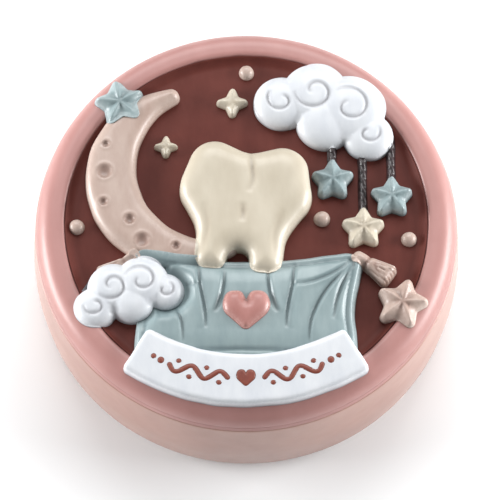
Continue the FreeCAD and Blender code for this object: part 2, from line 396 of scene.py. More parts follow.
def brushedResin(name, paint, shade, edge, washAndShade, mottle=3.2, roughness=0.42, edging=0.55, coat=0.25,
                 varnish=0.22, shine=0.5):
    # Cast polyresin, painted by hand and sealed with satin varnish: soft wide highlights, pale edges that are
    # thin paint and painted highlight, a dark wash that is also painted shade in the grooves and at each
    # piece's foot, and faint brush marks
    brushGrain = 0.35  # mm between hair marks, drawn as coarse as they need to show
    castHollows = 3.0  # mm between dips of the casting
    washAndShadeStrength = 0.85
    material, tree, shader = newMaterial(name, {
        "IOR": 1.5, "Specular IOR Level": shine, "Coat Weight": coat, "Coat Roughness": varnish})
    coord = addNode(tree, "ShaderNodeTexCoord", "Object")
    strokes = addNode(tree, "ShaderNodeMapping", "Vector",
                      {"Scale": (1.0, 0.35, 1.0), "Rotation": (0, 0, 0.6)}, {"Vector": coord})
    patches = addNode(tree, "ShaderNodeTexNoise", "Fac",
                      {"Scale": 1 / (mottle * mm), "Detail": 4.0, "Roughness": 0.6}, {"Vector": strokes})
    grain = addNode(tree, "ShaderNodeTexNoise", "Fac", {"Scale": 1 / (brushGrain * mm), "Detail": 3.0},
                    {"Vector": coord})
    hollows = addNode(tree, "ShaderNodeTexNoise", "Fac", {"Scale": 1 / (castHollows * mm), "Detail": 1.0},
                      {"Vector": coord})
    # two tones of the paint in patches
    spread = addNode(tree, "ShaderNodeMapRange", "Result", {"From Min": 0.36, "From Max": 0.68},
                     {"Value": patches})
    body = addNode(tree, "ShaderNodeMix", "Result", {"A": linear(paint), "B": linear(shade)},
                   {"Factor": spread}, data_type="RGBA")
    # pale edges, thin paint and painted highlight, broken up by the brush; then the wash colour, wash paint
    # and painted shade, in grooves and at the foot
    edgeLayer = addNode(tree, "ShaderNodeAttribute", "Fac", attribute_name="edge")
    washAndShadeLayer = addNode(tree, "ShaderNodeAttribute", "Fac", attribute_name="washAndShade")
    broken = {"From Min": 0.35, "From Max": 0.65, "To Min": 0.3 * edging, "To Max": 1.3 * edging}
    patchy = addNode(tree, "ShaderNodeMapRange", "Result", broken, {"Value": grain})
    edgeShare = addNode(tree, "ShaderNodeMath", "Value", {}, {0: edgeLayer, 1: patchy}, operation="MULTIPLY")
    washAndShadeShare = addNode(tree, "ShaderNodeMath", "Value", {1: washAndShadeStrength}, {0: washAndShadeLayer}, operation="MULTIPLY")
    lit = addNode(tree, "ShaderNodeMix", "Result", {"B": linear(edge)},
                  {"A": body, "Factor": edgeShare}, data_type="RGBA")
    done = addNode(tree, "ShaderNodeMix", "Result", {"B": linear(washAndShade)},
                   {"A": lit, "Factor": washAndShadeShare}, data_type="RGBA")
    sheen = addNode(tree, "ShaderNodeMapRange", "Result",
                    {"To Min": roughness - 0.05, "To Max": roughness + 0.08}, {"Value": patches})
    uneven = addNode(tree, "ShaderNodeBump", "Normal", {"Strength": 0.5, "Distance": 0.12 * mm},
                     {"Height": hollows})
    bump = addNode(tree, "ShaderNodeBump", "Normal", {"Strength": 0.25, "Distance": 0.03 * mm},
                   {"Height": grain, "Normal": uneven})
    tree.links.new(done, shader.inputs["Base Color"])
    tree.links.new(sheen, shader.inputs["Roughness"])
    tree.links.new(bump, shader.inputs["Normal"])
    return material


# Each resin's paint, its second tone, its pale edge colour (thin paint and painted highlight) and its wash
# colour (wash paint and painted shade)
roseResin = brushedResin(  # ring: sprayed evenly, so faint patches and a soft band of light on the shoulder
    "rose_resin_satin", "b2837e", "a77873", "c59c96", "5f332c", mottle=9.0, varnish=0.28, shine=0.4)
blushResin = brushedResin(  # cup: paler and glossier, picks up the table at its sides
    "blush_resin_satin", "b0897d", "a57e73", "c3a295", "7d5448", mottle=11.0, roughness=0.36, coat=0.4,
    varnish=0.2)
brownResin = brushedResin(  # panel: unvarnished, so matt and deep
    "brown_resin_matt", "642f27", "582720", "78483e", "311717", mottle=5.0, roughness=0.6, coat=0.0,
    shine=0.25)
whiteResin = brushedResin(  # clouds and banner: cool white, with grey in the grooves as wash and painted shade
    "white_resin_satin", "d2d5d9", "c6cad0", "e0e2e6", "7c787c", mottle=3.0, roughness=0.45)
creamResin = brushedResin(  # tooth and pale stars: warm, with brown in the grooves as wash and painted shade
    "cream_resin_satin", "c6bdab", "b9af9c", "d8d2c5", "86725e", mottle=5.0)
sageResin = brushedResin(  # pillow and stars: grey green, dark in the folds (wash and painted shade) and pale on the piping (thin paint and painted highlight)
    "sage_resin_satin", "8e9fa1", "7f9194", "b5bfc1", "4b5d62")
beigeResin = brushedResin(  # moon, tassels and beads: pinkish, with brown in craters and strands as wash and painted shade
    "beige_resin_satin", "b8a499", "aa9287", "d2c3b9", "745044")
charcoalResin = brushedResin(  # hangers: nearly black, with short pale edges on the strands, thin paint and painted highlight
    "charcoal_resin_satin", "352a2c", "2b2224", "6a5c5d", "141011", roughness=0.34, edging=0.18)
russetPaint = brushedResin(  # border: one loaded brush stroke, streaky and a little raised
    "russet_brush_paint", "7a3324", "68281c", "86452f", "40170f", mottle=1.2, roughness=0.5)
roseHeart = brushedResin(  # heart: the ring's rose, brushed by hand
    "rose_heart_satin", "ae7a74", "a26c65", "c8a29a", "6f413a")


def pressedFelt():
    # Pressed wool felt: matt, with short fibres lying every way
    fibreLength, tuftWidth = 0.5, 4.0  # mm
    material, tree, shader = newMaterial("pressed_wool_felt", {"Roughness": 0.95, "Sheen Weight": 0.4})
    coord = addNode(tree, "ShaderNodeTexCoord", "Object")
    fibres = addNode(tree, "ShaderNodeTexNoise", "Fac",
                     {"Scale": 1 / (fibreLength * mm), "Detail": 6.0, "Distortion": 1.8}, {"Vector": coord})
    tufts = addNode(tree, "ShaderNodeTexNoise", "Fac", {"Scale": 1 / (tuftWidth * mm), "Detail": 3.0},
                    {"Vector": coord})
    mixed = addNode(tree, "ShaderNodeMix", "Result", {"A": linear("8d7a72"), "B": linear("b9a79e")},
                    {"Factor": fibres}, data_type="RGBA")
    patchy = addNode(tree, "ShaderNodeMix", "Result", {"B": linear("a3928a")},
                   {"A": mixed, "Factor": tufts}, data_type="RGBA")
    bump = addNode(tree, "ShaderNodeBump", "Normal", {"Strength": 0.8, "Distance": 0.2 * mm},
                   {"Height": fibres})
    tree.links.new(patchy, shader.inputs["Base Color"])
    tree.links.new(bump, shader.inputs["Normal"])
    return material


feltCloth = pressedFelt()
print("materials mixed")

# Base cup
base = dict(
    wall=3.0, floor=2.4, bellyBulge=1.0, bellyHeight=9.1, bellyBend=34.0, footFlare=0.5, footRounding=2.4,
    rimRounding=0.25, innerRounding=4.0, edgeEase=0.3, setback=0.3, padClearance=0.2, uneven=0.035, step=0.6)
rimRadius = lidRadius + base["setback"]
boreRadius = rimRadius - base["wall"]
recessRadius = padHigh[0] + base["padClearance"]
recessTop = padHigh[2]
floorTop = recessTop + base["floor"]
baseProfile = roundedPath([
    (0, recessTop, 0),
    (recessRadius, recessTop, 0),
    (recessRadius, baseBottom, base["edgeEase"]),
    (rimRadius + base["footFlare"], baseBottom, base["footRounding"]),
    (rimRadius + base["bellyBulge"], base["bellyHeight"], base["bellyBend"]),
    (rimRadius, rimZ, base["rimRounding"]),
    (boreRadius, rimZ, base["edgeEase"]),
    (boreRadius, floorTop, base["innerRounding"]),
    (0, floorTop, 0),
], base["step"], closed=False)
cupShape = turnedShape(baseProfile, uneven=base["uneven"])
makePiece("cup", cupShape, blushResin, "rose_resin", "base_cup", body="base")

# Felt pad under the base, with a soft edge
pad = dict(edgeRounding=0.35, segments=160, step=0.5)
padProfile = roundedPath([
    (0, padLow[2], 0),
    (padHigh[0], padLow[2], pad["edgeRounding"]),
    (padHigh[0], padHigh[2], 0),
    (0, padHigh[2], 0),
], pad["step"], closed=False)
padShape = turnedShape(padProfile, pad["segments"])
feltDisc = makePiece("felt_disc", padShape, feltCloth, "felt", "felt_pad", body="base")

# Lid casting
lipOuter = boreRadius - lid["lipClearance"]
lipInner = lipOuter - lid["lipWall"]
lidProfile = roundedPath([
    (0, rimZ, 0),
    (lipInner, rimZ, base["edgeEase"]),
    (lipInner, lipEnd, lid["lipRounding"]),
    (lipOuter, lipEnd, lid["lipRounding"]),
    (lipOuter, rimZ, base["edgeEase"]),
    (lidRadius + lid["footFlare"], rimZ, lid["edgeRounding"]),
    (lidRadius, rimZ + lid["footHeight"], lid["footBlend"]),
    (lidRadius, crestZ, lid["shoulderRadius"]),
    (panelRadius, crestZ, lid["innerRounding"]),
    (panelRadius, pocketFloor, 0),
    (0, pocketFloor, 0),
], lid["step"], closed=False)


def brushedLine(points):
    # the panel's brown carried up the ring's inner wall by a brush, further in some places than in others
    longWave, shortWave = lid["brushWaves"]
    reach = np.hypot(points[:, 0], points[:, 1])
    swing = [noise.noise(Vector((x, y, 0)) / longWave) + 0.5 * noise.noise(Vector((x, y, 9)) / shortWave)
             for x, y, z in points]
    level = panelTop + lid["brushLevel"] + lid["brushSwing"] * np.array(swing)
    wall = (reach < panelRadius + lid["brushReach"]) & (points[:, 2] > pocketFloor - pocketPlay)
    return np.where(wall, np.clip((level - points[:, 2]) / lid["brushSoft"], 0, 1), 0)


lidPoints, lidFaces, bare, lidEdges = turnedShape(lidProfile, lid["segments"], lid["uneven"])
lidShape = (lidPoints, lidFaces, brushedLine(lidPoints), lidEdges)
makePiece("lid_casting", lidShape, roseResin, "rose_resin", "lid_shell")

# Painted panel, with the paint drawn up a little where it meets the ring
panel = dict(
    creep=0.95, creepReach=1.7, creepPower=2.5, creepRings=11, overlap=0.05, ringGap=0.6, ringStep=0.9,
    innerRing=0.5, uneven=0.02)
panelEdge = panelRadius + panel["overlap"]
panelProfile = [(0, pocketFloor), (panelEdge, pocketFloor), (panelEdge, panelTop + panel["creep"])]
for share in np.linspace(1, 0, panel["creepRings"]):
    creep = panel["creep"] * share ** panel["creepPower"]
    panelProfile.append((panelRadius - panel["creepReach"] * (1 - share), panelTop + creep))
outerRing = panelRadius - panel["creepReach"] - panel["ringGap"]
flatRings = np.arange(outerRing, panel["innerRing"], -panel["ringStep"])
panelProfile += [(radius, panelTop) for radius in flatRings] + [(0, panelTop)]
panelShape = turnedShape(panelProfile, uneven=panel["uneven"])
makePiece("painted_panel", panelShape, brownResin, "brown_panel", "lid_panel")
print("cup, lid and panel turned")


# Relief on the panel, made from its back to its front, with sizes across as shares of the panel's radius

def seat(form):
    return onPanel(form["placeShares"]), form.get("turn", 0)


def outlineOf(form):
    width, length = onPanel(form["sizeShares"])
    least = min(width, length)
    corners = [(x * width, y * length, radius * least) for x, y, radius in form["outlineShares"]]
    return placed(roundedPath(corners, form.get("step", outlineStep)), *seat(form))


def inShares(points, form):
    return local(points, *seat(form)) / onPanel(form["sizeShares"])


def fromShares(path, form):
    return placed(np.array(path) * onPanel(form["sizeShares"]), *seat(form))


def rounded(form, depth, power=2.0, lower=0.0):
    # a cushioned top that rises from the piece's wall to its height
    rise = form["height"] - lower - form["wall"]
    return panelTop + form["wall"] + rise * swell(depth, form["reach"], power)


# Beads
bead = dict(
    radiusShare=0.041, height=1.3, wall=0.3, spacing=0.2,
    placeShares=[(0.0, 0.91), (-0.94, -0.03), (0.9, -0.1), (0.42, 0.02)])
bead["reach"] = bead["radiusShare"] * panelRadius


def beadSurface(points, depth):
    return rounded(bead, depth), np.zeros(len(points))


beadOutlines = [disc(bead["reach"], onPanel(place)) for place in bead["placeShares"]]
beadShapes = [reliefShape(outline, beadSurface, bead["spacing"]) for outline in beadOutlines]
makePiece("bead_dots", joined(beadShapes), beigeResin, "beige_resin", "beads")

# Stars and sparkles, with a ridge along each arm
star = dict(
    points=5, waistShare=0.56, tipShare=0.17, waistRoundShare=0.12, wall=0.9, reach=1.5, ridge=0.35,
    ridgeWidth=0.42, valleyShare=0.5, valleyWashAndShade=0.35, edgeReach=0.5, step=0.16, spacing=0.24)
sparkle = dict(
    star, points=4, waistShare=0.42, height=1.4, wall=0.4, reach=0.8, ridge=0.22, ridgeWidth=0.3,
    sizes=[("sparkle_large", 0.116, (-0.08, 0.72)), ("sparkle_small", 0.088, (-0.45, 0.45))])


def starOutline(form, radius, place, turn):
    corners = []
    for index in range(2 * form["points"]):
        angle = math.pi / 2 + index * math.pi / form["points"]
        share, rounding = ((1, form["tipShare"]), (form["waistShare"], form["waistRoundShare"]))[index % 2]
        reach = radius * share
        corners.append((reach * math.cos(angle), reach * math.sin(angle), radius * rounding))
    return placed(roundedPath(corners, form["step"]), place, turn)


def starSurface(form, place, turn, height):
    pitch = 2 * math.pi / form["points"]
    body = dict(form, height=height)

    def surface(points, depth):
        x, y = local(points, place, turn).T
        off = (np.arctan2(y, x) - math.pi / 2 + pitch / 2) % pitch - pitch / 2
        reach = np.hypot(x, y)
        ridge = bell(reach * np.sin(off), form["ridgeWidth"])
        valley = bell(reach * np.sin(pitch / 2 - np.abs(off)), form["ridgeWidth"])
        fade = np.clip(depth / form["edgeReach"], 0, 1)
        arms = form["ridge"] * (ridge - form["valleyShare"] * valley) * fade
        # darker in the valleys between the arms: wash and painted shade
        return rounded(body, depth, lower=form["ridge"]) + arms, form["valleyWashAndShade"] * valley * fade

    return surface


def starShape(form, radiusShare, place, turn, height):
    outline = starOutline(form, radiusShare * panelRadius, place, turn)
    return reliefShape(outline, starSurface(form, place, turn, height), form["spacing"])


for name, radiusShare, place in sparkle["sizes"]:
    shape = starShape(sparkle, radiusShare, onPanel(place), 0, sparkle["height"])
    makePiece(name + "_glint", shape, creamResin, "cream_resin", name)

# Crescent moon with shallow craters, each an angle, a share of the radius and a size in mm
moon = dict(
    radiusShare=0.54, biteRadiusShare=0.45, biteOffsetShare=0.2, tipShare=0.044, placeShares=(-0.355, 0.26),
    turn=20.0, height=2.4, wall=0.7, reach=2.4, power=2.2,
    craters=[(158, 0.8, 1.35), (181, 0.86, 0.75), (203, 0.73, 1.0), (221, 0.83, 1.3), (137, 0.86, 0.7),
             (246, 0.79, 0.75)],
    craterDepth=0.42, craterRim=0.12, craterRimWidth=0.28, craterWashAndShade=0.6, washAndShadeSpill=0.15, washAndShadePower=0.7)


def moonOutline():
    # outer arc and bite's arc; each horn's rounding touches the first from inside and the second from outside
    keys = ("radiusShare", "biteRadiusShare", "biteOffsetShare", "tipShare")
    radius, bite, offset, tip = (moon[key] * panelRadius for key in keys)
    outerReach, biteReach = radius - tip, bite + tip
    x = (outerReach ** 2 - biteReach ** 2 + offset ** 2) / (2 * offset)
    y = math.sqrt(outerReach ** 2 - x ** 2)
    outerAngle, biteAngle, full = math.atan2(y, x), math.atan2(y, x - offset), 2 * math.pi
    path = [arc((0, 0), radius, outerAngle, full - outerAngle),
            arc((x, -y), tip, -outerAngle, math.pi - biteAngle),
            arc((offset, 0), bite, full - biteAngle, biteAngle),
            arc((x, y), tip, biteAngle + math.pi, outerAngle + full)]
    return placed(evened(np.concatenate(path), outlineStep), *seat(moon))


def moonSurface(points, depth):
    height = rounded(moon, depth, moon["power"])
    washAndShade = np.zeros(len(points))
    for angle, share, size in moon["craters"]:
        spot = turnedBy((share * moon["radiusShare"] * panelRadius, 0), angle)
        gap = lengths(points - placed(spot, *seat(moon)))
        bowl = 1 - (gap / size) ** 2
        height += moon["craterRim"] * bell(gap - size, moon["craterRimWidth"])
        height -= moon["craterDepth"] * np.clip(bowl, 0, 1)
        # darker in each crater: wash and painted shade
        craterDarkening = np.clip(bowl + moon["washAndShadeSpill"], 0, 1) ** moon["washAndShadePower"]
        washAndShade = np.maximum(washAndShade, moon["craterWashAndShade"] * craterDarkening)
    return height, washAndShade


moonShape = reliefShape(moonOutline(), moonSurface)
makePiece("moon_crescent", moonShape, beigeResin, "beige_resin", "crescent_moon")

# Stars that lap over the ring
rimStar = dict(radiusShare=0.17, height=2.8, places=[
    ("star_left", (-0.71, 0.7), 12.0, sageResin, "sage_resin"),
    ("star_right", (0.85, -0.49), -16.0, beigeResin, "beige_resin")])
for name, place, turn, paint, slot in rimStar["places"]:
    shape = starShape(star, rimStar["radiusShare"], onPanel(place), turn, rimStar["height"])
    makePiece(name + "_puffed", shape, paint, slot, name)
print("beads, sparkles, moon and rim stars sculpted")

# Clouds, whose places the hangers and the pillow need too. A lobe is its middle, its radius and its share
# of the height, a curl is its lobe, the share of the radius where it starts, its first angle and its turn
cloud = dict(
    height=3.1, wall=0.8, puffShare=0.85, spacing=0.28,
    lobes=[(-0.31, -0.05, 0.19, 0.84), (-0.12, 0.09, 0.23, 0.94), (0.14, 0.07, 0.25, 1.0),
           (0.33, -0.06, 0.17, 0.84), (0.02, -0.07, 0.2, 0.92)],
    curls=[(1, 0.6, 200, 400), (2, 0.62, 150, -380), (0, 0.55, 160, 300), (3, 0.5, 60, -300)],
    curlEnd=0.12, curlWidth=0.26, curlTaper=0.2, curlDepth=0.32, curlWashAndShade=0.55, curlPoints=40)
cloudForms = {
    "cloud_left": dict(widthShare=0.61, turn=14.0, placeShares=(-0.645, -0.435)),
    "cloud_right": dict(widthShare=0.82, turn=-22.0, placeShares=(0.45, 0.655))}


def cloudLobes(form):
    width = form["widthShare"] * panelRadius
    middles = np.array([lobe[:2] for lobe in cloud["lobes"]]) * width
    radii = np.array([lobe[2] for lobe in cloud["lobes"]]) * width
    return placed(middles, *seat(form)), radii


# Hangers cast as two strands laid round each other, and the stars that they end in
hanger = dict(
    widthShare=0.044, height=1.2, wall=0.25, easeShare=0.25, step=0.14, spacing=0.16,
    twistPitch=1.5, twistSkew=0.55, twistDepth=0.3, twistPower=3, twistWashAndShade=0.8,
    anchorShares=(0.04, 0.26, 0.47), dropShares=(0.4, 0.62, 0.37))
dropStar = dict(
    radiusShare=0.14, height=2.3, paints=[sageResin, creamResin, sageResin],
    slots=["sage_resin", "cream_resin", "sage_resin"])


def strandSurface(low, half):
    def surface(points, depth):
        x, y = (points - low).T
        turns = y / hanger["twistPitch"] + hanger["twistSkew"] * x / half
        lay = (0.5 + 0.5 * np.cos(2 * math.pi * turns)) ** hanger["twistPower"]
        bow = np.sqrt(np.clip(1 - (x / half) ** 2, 0, 1))
        rise = hanger["height"] - hanger["wall"] - hanger["twistDepth"] * lay
        # darker in the grooves between the strands: wash and painted shade
        return panelTop + hanger["wall"] + rise * bow, hanger["twistWashAndShade"] * lay

    return surface


rightCloud = cloudForms["cloud_right"]
half = hanger["widthShare"] * panelRadius / 2
ease = hanger["easeShare"] * 2 * half
for index, (anchorShare, dropShare) in enumerate(zip(hanger["anchorShares"], hanger["dropShares"])):
    along = turnedBy((anchorShare * rightCloud["widthShare"], 0), rightCloud["turn"])
    drop = dropShare * panelRadius
    low = onPanel(rightCloud["placeShares"] + along) - np.array((0, drop))
    corners = [(-half, 0, ease), (half, 0, ease), (half, drop, ease), (-half, drop, ease)]
    bar = roundedPath(corners, hanger["step"]) + low
    number = str(index + 1)
    shape = reliefShape(bar, strandSurface(low, half), hanger["spacing"])
    makePiece("star_hanger_" + number, shape, charcoalResin, "charcoal_resin", "hanger_" + number)
    shape = starShape(star, dropStar["radiusShare"], low, 0, dropStar["height"])
    paint, slot = dropStar["paints"][index], dropStar["slots"][index]
    makePiece("hung_star_" + number, shape, paint, slot, "drop_star_" + number)

# Pillow, with piping round it and folds that run from its corners and from under the tooth. Piping and seam
# are each how far in from the edge, how wide and how high or deep, in mm
pillow = dict(
    sizeShares=(1.33, 0.66), placeShares=(0.0, -0.5), height=2.8, wall=0.7, reach=4.4, spacing=0.3, slack=0.1,
    outlineShares=[
        (-0.5, 0.5, 0.13), (0.0, 0.34, 4.6), (0.5, 0.5, 0.13), (0.44, 0.0, 1.05), (0.46, -0.5, 0.13),
        (0.0, -0.46, 6.0), (-0.46, -0.5, 0.13), (-0.44, 0.0, 1.05)],
    piping=(0.62, 0.36, 0.3), seam=(1.42, 0.24, 0.26), seamWashAndShade=0.75,
    folds=[
        [(0.45, 0.41), (0.36, 0.27), (0.27, 0.19), (0.19, 0.16)],
        [(0.45, 0.4), (0.4, 0.2), (0.37, 0.02), (0.355, -0.14)],
        [(0.43, 0.35), (0.33, 0.12), (0.27, -0.12), (0.255, -0.34)],
        [(0.2, 0.36), (0.19, 0.16), (0.17, -0.06), (0.165, -0.22)],
        [(0.09, 0.3), (0.095, 0.14), (0.11, 0.0), (0.13, -0.08)]],
    foldStep=0.03, creaseWidth=0.3, creaseDepth=0.5, creaseWashAndShade=0.8,
    swellWidth=0.62, swellHeight=0.22, swellShiftShare=0.018,
    dentDepth=0.7, dentPlaceShares=(-0.01, 0.42), dentShares=(0.26, 0.16), underCloudShade=0.5, underPower=3)
press = dict(reach=1.1, keep=0.9)  # mm round the left cloud where pieces are pressed down, and to what height


def underCloud(points, height):
    # how far a piece gives way to the left cloud, and the height that this leaves it
    lobes = zip(*cloudLobes(cloudForms["cloud_left"]))
    gap = np.min([lengths(points - middle) - radius for middle, radius in lobes], 0)
    give = bell(np.clip(gap, 0, None), press["reach"])
    return give, height - give * np.clip(height - panelTop - press["keep"], 0, None)


def pillowSurface(points, depth):
    height = rounded(pillow, depth, lower=pillow["slack"])
    (cordIn, cordWidth, cordHeight), (seamIn, seamWidth, seamDepth) = pillow["piping"], pillow["seam"]
    seam = bell(depth - seamIn, seamWidth)
    height += cordHeight * bell(depth - cordIn, cordWidth) - seamDepth * seam
    # darker along the seam and in each crease: wash and painted shade
    washAndShade = pillow["seamWashAndShade"] * seam
    for fold in pillow["folds"]:
        for side in (-1, 1):
            path = curve([(x * side, y) for x, y in fold], pillow["foldStep"])
            beside = path + np.array((pillow["swellShiftShare"] * side, 0))
            crease = furrow(points, fromShares(path, pillow), pillow["creaseWidth"])
            swelling = furrow(points, fromShares(beside, pillow), pillow["swellWidth"])
            height += pillow["swellHeight"] * swelling - pillow["creaseDepth"] * crease
            washAndShade = np.maximum(washAndShade, pillow["creaseWashAndShade"] * crease)
    off = (inShares(points, pillow) - pillow["dentPlaceShares"]) / pillow["dentShares"]
    height -= pillow["dentDepth"] * np.exp(-(off ** 2).sum(1))
    give, height = underCloud(points, height)
    # darker where the left cloud lies on the pillow: painted shade
    return height, np.maximum(washAndShade, pillow["underCloudShade"] * give ** pillow["underPower"])


pillowShape = reliefShape(outlineOf(pillow), pillowSurface, pillow["spacing"])
makePiece("pillow_cushion", pillowShape, sageResin, "sage_resin", "pillow")

# Tassels at the pillow's upper corners: a tied head, a band, and strands that fan out towards the hem
tassel = dict(
    sizeShares=(0.14, 0.25), tuckShare=0.034, insetShare=0.05, turn=58.0, height=2.4, wall=0.7, reach=1.5,
    step=0.16, spacing=0.18,
    outlineShares=[
        (-0.28, 0.5, 0.22), (0.28, 0.5, 0.22), (0.26, 0.14, 0.1), (0.5, -0.5, 0.2), (-0.5, -0.5, 0.2),
        (-0.26, 0.14, 0.1)],
    strandWidth=0.62, strandDepth=0.32, strandWashAndShade=0.8, skirtShare=0.02, skirtSoft=0.02,
    fanShare=0.14, fanLeast=0.62, fanRate=0.75, fanMost=0.64,
    bandShare=0.13, bandWidthShare=0.045, bandDepth=0.3, bandWashAndShade=0.7)


def tasselSurface(form):
    def surface(points, depth):
        u, v = inShares(points, form).T
        across = u * form["sizeShares"][0] * panelRadius
        skirt = 1 / (1 + np.exp((v - form["skirtShare"]) / form["skirtSoft"]))
        fan = form["fanLeast"] + form["fanRate"] * np.clip(form["fanShare"] - v, 0, form["fanMost"])
        strand = 0.5 + 0.5 * np.cos(across / fan / form["strandWidth"] * 2 * math.pi)
        band = bell(v - form["bandShare"], form["bandWidthShare"])
        height = rounded(form, depth) - form["strandDepth"] * skirt * strand - form["bandDepth"] * band
        # darker between the strands and in the band: wash and painted shade
        washAndShade = np.maximum(form["strandWashAndShade"] * skirt * strand ** 2, form["bandWashAndShade"] * band)
        return underCloud(points, height)[1], washAndShade

    return surface


for side, name in ((-1, "left"), (1, "right")):
    hang = turnedBy((0, tassel["tuckShare"] - tassel["sizeShares"][1] / 2), side * tassel["turn"])
    corner = (np.array(pillow["sizeShares"]) / 2 - tassel["insetShare"]) * (side, 1) + pillow["placeShares"]
    form = dict(tassel, turn=side * tassel["turn"], placeShares=corner + hang)
    shape = reliefShape(outlineOf(form), tasselSurface(form), form["spacing"])
    makePiece("pillow_tassel_" + name, shape, beigeResin, "beige_resin", "tassel_" + name)


# Clouds' puffs, with a curl cut into the larger lobes

def cloudOutline(middles, radii):
    # the outer stretches of every lobe's circle, joined in order round the heap
    ring = []
    for index, (middle, radius) in enumerate(zip(middles, radii)):
        circle = disc(radius, middle)
        for other, (spot, size) in enumerate(zip(middles, radii)):
            if other != index:
                circle = circle[lengths(circle - spot) >= size]
        ring.append(circle)
    ring = np.concatenate(ring)
    away = ring - middles.mean(0)
    return evened(ring[np.argsort(np.arctan2(away[:, 1], away[:, 0]))], outlineStep)


def cloudSurface(middles, radii, turn):
    def surface(points, depth):
        height = np.full(len(points), panelTop + cloud["wall"])
        for middle, radius, lobe in zip(middles, radii, cloud["lobes"]):
            rim = radius - lengths(points - middle)
            puff = dict(cloud, height=cloud["height"] * lobe[3], reach=radius * cloud["puffShare"])
            height = np.where(rim > 0, np.maximum(height, rounded(puff, rim)), height)
        washAndShade = np.zeros(len(points))
        for index, share, start, sweep in cloud["curls"]:
            angles = np.radians(np.linspace(start, start + sweep, cloud["curlPoints"]) + turn)
            reach = radii[index] * np.linspace(share, cloud["curlEnd"], cloud["curlPoints"])
            path = middles[index] + np.column_stack([reach * np.cos(angles), reach * np.sin(angles)])
            curl = furrow(points, path, cloud["curlWidth"], cloud["curlTaper"])
            height -= cloud["curlDepth"] * curl
            # darker in each curl: wash and painted shade
            washAndShade = np.maximum(washAndShade, cloud["curlWashAndShade"] * curl)
        return height, washAndShade

    return surface


for name, form in cloudForms.items():
    middles, radii = cloudLobes(form)
    surface = cloudSurface(middles, radii, form["turn"])
    shape = reliefShape(cloudOutline(middles, radii), surface, cloud["spacing"])
    makePiece(name + "_puffs", shape, whiteResin, "white_resin", name)
print("hangers, pillow, tassels and clouds sculpted")

# Heart on the pillow
heart = dict(
    sizeShares=(0.24, 0.21), placeShares=(0.0, -0.545), height=3.6, wall=2.5, reach=1.7,
    outlineShares=[
        (0.0, -0.55, 0.14), (0.58, 0.06, 0.4), (0.44, 0.52, 0.24), (0.12, 0.52, 0.18), (0.0, 0.26, 0.02),
        (-0.12, 0.52, 0.18), (-0.44, 0.52, 0.24), (-0.58, 0.06, 0.4)],
    cleftLine=[(0, 0.4), (0, 0.22), (0, 0.06)], cleftWidth=0.4, cleftDepth=0.25, cleftWashAndShade=0.4)


def heartSurface(points, depth):
    cleft = furrow(points, fromShares(heart["cleftLine"], heart), heart["cleftWidth"])
    # darker in the cleft: wash and painted shade
    return rounded(heart, depth) - heart["cleftDepth"] * cleft, heart["cleftWashAndShade"] * cleft


heartShape = reliefShape(outlineOf(heart), heartSurface, ground=heightUnder)
makePiece("heart_patch", heartShape, roseHeart, "rose_resin", "pillow_heart")

# Tooth. A groove is its width and depth in mm, its share of wash and painted shade and how soon it runs out
# at its ends
tooth = dict(
    sizeShares=(0.68, 0.8), placeShares=(-0.01, 0.09), turn=-6.0, height=3.8, wall=1.1, reach=3.6, power=2.3,
    slack=0.3,
    outlineShares=[
        (-0.43, 0.5, 0.21), (0.0, 0.37, 0.22), (0.43, 0.5, 0.21), (0.56, 0.06, 0.26), (0.36, -0.2, 0.3),
        (0.35, -0.5, 0.11), (0.12, -0.5, 0.09), (0.0, -0.12, 0.09), (-0.12, -0.5, 0.09),
        (-0.35, -0.5, 0.11), (-0.36, -0.2, 0.3), (-0.56, 0.06, 0.26)],
    cuspHeight=0.28, cuspPlaceShares=(0.26, 0.27), cuspShares=(0.17, 0.15), lineStep=0.02,
    crownLine=[(0.0, 0.42), (0.01, 0.33), (0.035, 0.24), (0.05, 0.15), (0.03, 0.06)],
    splitLine=[(0.0, -0.16), (0.0, -0.1), (-0.01, -0.02)],
    sideLine=[(0.3, -0.4), (0.27, -0.22), (0.33, -0.04)],
    crownGroove=(0.5, 0.34, 0.36, 0.6), splitGroove=(0.5, 0.3, 0.36, 0.6),
    sideGroove=(0.45, 0.14, 0.22, 0.35))


def toothSurface(points, depth):
    shares = inShares(points, tooth)
    height = rounded(tooth, depth, tooth["power"], tooth["slack"])
    for side in (-1, 1):  # the two cusps
        off = (shares - np.array(tooth["cuspPlaceShares"]) * (side, 1)) / tooth["cuspShares"]
        height += tooth["cuspHeight"] * np.exp(-(off ** 2).sum(1))
    crownLine, sideLine = (curve(tooth[key], tooth["lineStep"]) for key in ("crownLine", "sideLine"))
    grooves = [(crownLine, "crownGroove"), (tooth["splitLine"], "splitGroove"), (sideLine, "sideGroove"),
               (sideLine * (-1, 1), "sideGroove")]
    washAndShade = np.zeros(len(points))
    for line, key in grooves:
        width, deep, share, taper = tooth[key]
        groove = furrow(points, fromShares(line, tooth), width, taper)
        height -= deep * groove
        # darker in each groove: wash and painted shade
        washAndShade += share * groove
    return height, washAndShade


toothShape = reliefShape(outlineOf(tooth), toothSurface)
makePiece("milk_tooth", toothShape, creamResin, "cream_resin", "tooth")

# Banner plate
banner = dict(
    outerRadiusShare=1.2, innerRadiusShare=1.06, rimOverlap=2.2, widthShare=0.285, outerHalfSpanShare=0.667,
    innerHalfSpanShare=0.533, cornerShare=0.028, cornerClear=1.6, arcStep=0.25,
    height=3.0, edgeShare=0.72, edgeReach=0.75, edgePower=2.2, crown=0.08, crownReach=4.0, spacing=0.5)
bannerNear = -(panelRadius + banner["rimOverlap"])
bannerFar = bannerNear + banner["widthShare"] * panelRadius


